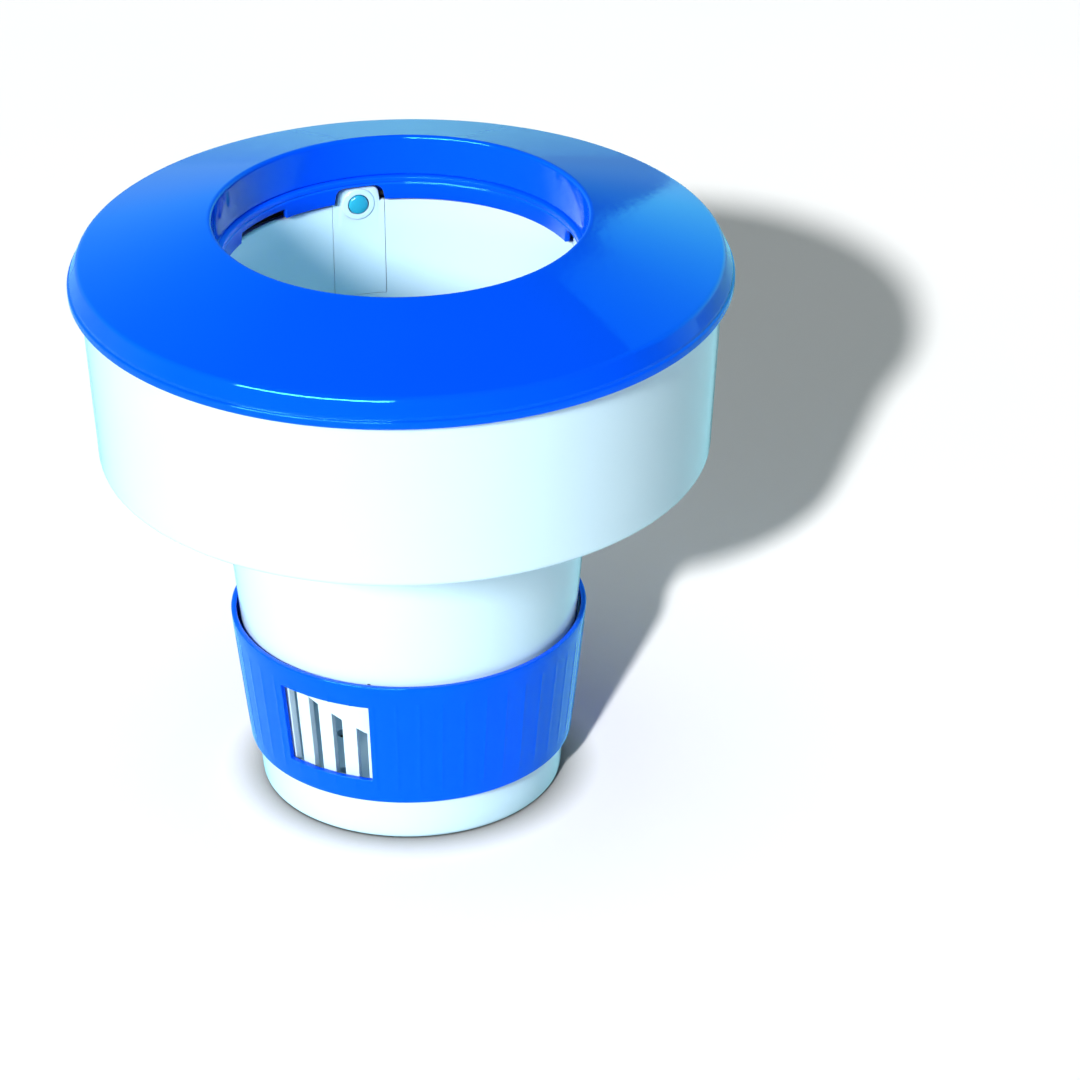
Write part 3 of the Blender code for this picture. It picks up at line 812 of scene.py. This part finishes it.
def make_stage(pieces):
    """The floor, the lights and the surround. The floor has a key light of its own."""
    floor = make_floor()
    key = add_light("key", "SUN", KEY_DIRECTION, 3.0, 5.1)
    key.data.angle = math.radians(12.0)
    key.visible_glossy = False
    lit_only(key, "key_lights", pieces)
    floor_key = add_light("floor_key", "SUN", FLOOR_KEY_DIRECTION, 3.0, 5.8)
    floor_key.data.angle = math.radians(2.5)
    floor_key.visible_glossy = False
    lit_only(floor_key, "floor_key_lights", [floor])
    overhead = add_light("overhead", "AREA", (0.0, 90.0), 1.6, 6.0)
    overhead.data.size = 0.9
    overhead.data.color = (0.86, 1.0, 1.0)
    overhead.visible_glossy = False
    back = add_light("back_fill", "AREA", BACK_FILL_DIRECTION, 1.6, 13.0)
    back.data.size = 1.8
    back.visible_glossy = False
    lit_only(back, "back_fill_lights", [piece for piece in pieces if piece.name != "cap_shell"])
    mouth = add_light("mouth_fill", "AREA", MOUTH_FILL_DIRECTION, 0.6, 1.4)
    mouth.data.shape = "DISK"
    mouth.data.size = 0.3
    mouth.data.color = (0.35, 0.95, 1.0)
    mouth.visible_glossy = False
    lit_only(mouth, "mouth_fill_lights", [piece for piece in pieces if piece.name in MOUTH_FILL_LIGHTS])
    add_reflection("front_strip", STRIP_DIRECTION, 2.2, (2.0, 0.5), 180.0)
    make_studio()
    bpy.context.scene.view_settings.view_transform = "Standard"
    bpy.context.scene.view_settings.look = "None"


def make_studio():
    """Pale walls that fade to a dark ceiling. Gloss sees them cyan, with a panel at the back right."""
    world = bpy.data.worlds.new("studio")
    bpy.context.scene.world = world
    world.use_nodes = True
    tree = world.node_tree
    tree.nodes.clear()

    def math_node(operation, *values):
        node = tree.nodes.new("ShaderNodeMath")
        node.operation = operation
        for value, end in zip(values, node.inputs):
            if isinstance(value, (int, float)):
                end.default_value = value
            else:
                tree.links.new(value, end)
        return node.outputs[0]

    def ranged(value, start, end, low, high):
        node = tree.nodes.new("ShaderNodeMapRange")
        for name, amount in (("From Min", start), ("From Max", end), ("To Min", low), ("To Max", high)):
            node.inputs[name].default_value = amount
        tree.links.new(value, node.inputs["Value"])
        return node.outputs["Result"]

    def stepped(levels):
        """A ramp over the sine of the elevation, from (elevation, colour) steps."""
        ramp = tree.nodes.new("ShaderNodeValToRGB")
        stops = ramp.color_ramp.elements
        while len(stops) < len(levels):
            stops.new(0.5)
        for stop, (elevation, colour) in zip(stops, levels):
            stop.position = math.sin(math.radians(elevation))
            stop.color = (*colour, 1.0)
        tree.links.new(z, ramp.inputs["Fac"])
        return ramp.outputs["Color"]

    parts = tree.nodes.new("ShaderNodeSeparateXYZ")
    tree.links.new(tree.nodes.new("ShaderNodeTexCoord").outputs["Generated"], parts.inputs[0])
    x, y, z = parts.outputs
    levels = ((10, 1.0), (20, 0.95), (28, 0.8), (36, 0.6), (45, 0.4), (53, 0.15), (62, 0.02))
    soft = stepped([(elevation, (level, level, level)) for elevation, level in levels])
    gloss = stepped(((0, (0.33, 0.85, 0.95)), (5, (0.3, 0.92, 1.0)), (11, (0.2, 1.0, 1.0)),
                     (19, (0.14, 0.95, 1.0)),
                     (28, (0.09, 0.8, 0.9)), (36, (0.06, 0.6, 0.7)), (45, (0.03, 0.4, 0.5)),
                     (53, (0.01, 0.15, 0.2)), (62, (0.0, 0.02, 0.03))))
    azimuth = math_node("MULTIPLY", math_node("ARCTAN2", x, y), 180 / math.pi)
    high = math_node("MAXIMUM", math_node("SUBTRACT", z, 0.5), 0.0)
    edge = math_node("ADD", math_node("MULTIPLY", z, PANEL_LEAN), PANEL_EDGE)
    curve = math_node("MULTIPLY", math_node("MULTIPLY", high, high), PANEL_CURVE)
    edge = math_node("SUBTRACT", edge, curve)
    panel = ranged(math_node("SUBTRACT", azimuth, edge), -0.1, 0.1, 0.0, PANEL_STRENGTH)
    top = math_node("SUBTRACT", z, math_node("MULTIPLY", azimuth, PANEL_TOP_LEAN))
    cut = ranged(top, PANEL_TOP - 0.002, PANEL_TOP + 0.002, 1.0, 0.1)
    panel = math_node("MULTIPLY", panel, cut)
    panel = math_node("MULTIPLY", panel, ranged(azimuth, 60.0, 90.0, 1.0, 0.2))
    left = ranged(azimuth, -4.0, 4.0, 1.0, 0.0)
    back = math_node("MAXIMUM", math_node("MAXIMUM", left, panel), ranged(z, 0.05, 0.3, 0.75, 0.42))
    front = ranged(x, -0.4, 0.3, 0.4, 0.08)
    share = ranged(y, -0.2, 0.2, 0.0, 1.0)
    wall = math_node("ADD", math_node("MULTIPLY", back, share),
                     math_node("MULTIPLY", front, math_node("SUBTRACT", 1.0, share)))
    even = ranged(x, -0.6, 0.6, 0.6, 0.2)

    def background(colour, strength):
        node = tree.nodes.new("ShaderNodeBackground")
        tree.links.new(colour, node.inputs["Color"])
        tree.links.new(strength, node.inputs["Strength"])
        return node.outputs[0]

    path = tree.nodes.new("ShaderNodeLightPath")

    def chosen(ray, other, own):
        """One background for a kind of ray, and another for the rest."""
        node = tree.nodes.new("ShaderNodeMixShader")
        for start, end in zip((path.outputs[ray], other, own), node.inputs):
            tree.links.new(start, end)
        return node.outputs[0]

    lit = chosen("Is Glossy Ray", background(soft, even), background(gloss, wall))
    seen = tree.nodes.new("ShaderNodeBackground")
    seen.inputs["Color"].default_value = (0.93, 0.94, 0.94, 1.0)
    output = tree.nodes.new("ShaderNodeOutputWorld")
    tree.links.new(chosen("Is Camera Ray", lit, seen.outputs[0]), output.inputs["Surface"])


def make_camera():
    data = bpy.data.cameras.new("camera")
    data.sensor_width = SENSOR_WIDTH
    data.lens = CAMERA_LENS
    camera = bpy.data.objects.new("camera", data)
    bpy.context.scene.collection.objects.link(camera)
    across, level = math.sin(CAMERA_YAW), math.cos(CAMERA_YAW)
    ahead = Vector((across * math.cos(CAMERA_PITCH), level * math.cos(CAMERA_PITCH),
                    -math.sin(CAMERA_PITCH)))
    right = Matrix.Rotation(-CAMERA_ROLL, 3, ahead) @ Vector((level, -across, 0.0))
    turned = Matrix((right, right.cross(ahead), -ahead)).transposed().to_4x4()
    camera.matrix_world = Matrix.Translation(CAMERA_PLACE) @ turned
    bpy.context.scene.camera = camera


def main():
    blue = moulded_plastic("blue plastic", (0.0005, 0.072, 0.82), (0.0005, 0.068, 0.8),
                           (0.01, 0.2, 0.85), 0.04, 0.5, tint=(0.1, 0.9, 1.0))
    white = moulded_plastic("white plastic", (0.515, 0.70, 0.81), (0.505, 0.69, 0.80),
                            (0.66, 0.78, 0.85), 0.08, 0.6, 3.0, ior=1.4)
    cyan = moulded_plastic("cyan plastic", (0.02, 0.37, 0.56), (0.016, 0.35, 0.54),
                           (0.15, 0.55, 0.68), 0.18, 0.5, 7.0)
    teal = moulded_plastic("teal plastic", (0.006, 0.035, 0.045), (0.004, 0.03, 0.04),
                           (0.03, 0.1, 0.12), 0.4, 0.4)
    black = rubber("seal rubber")
    pieces = [
        place_piece(make_cap(), blue, "float", "cap_ring"),
        place_piece(make_collar(), blue, "float", "canister_collar"),
        place_piece(make_drum(), white, "float", "float_drum"),
        place_piece(make_canister(), white, "canister", "tablet_canister"),
        place_piece(make_finger(), white, "latch", "latch_finger"),
        place_piece(make_button(), cyan, "latch", "release_button"),
        place_piece(make_ring(), blue, "dosing_ring", "dosing_ring"),
    ]
    for name, looks in (("outer_seal", black), ("inner_seal", black), ("ring_stop_pin", teal)):
        dress(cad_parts[name], looks)
        pieces.append(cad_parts[name])
    make_stage(pieces)
    make_camera()


main()
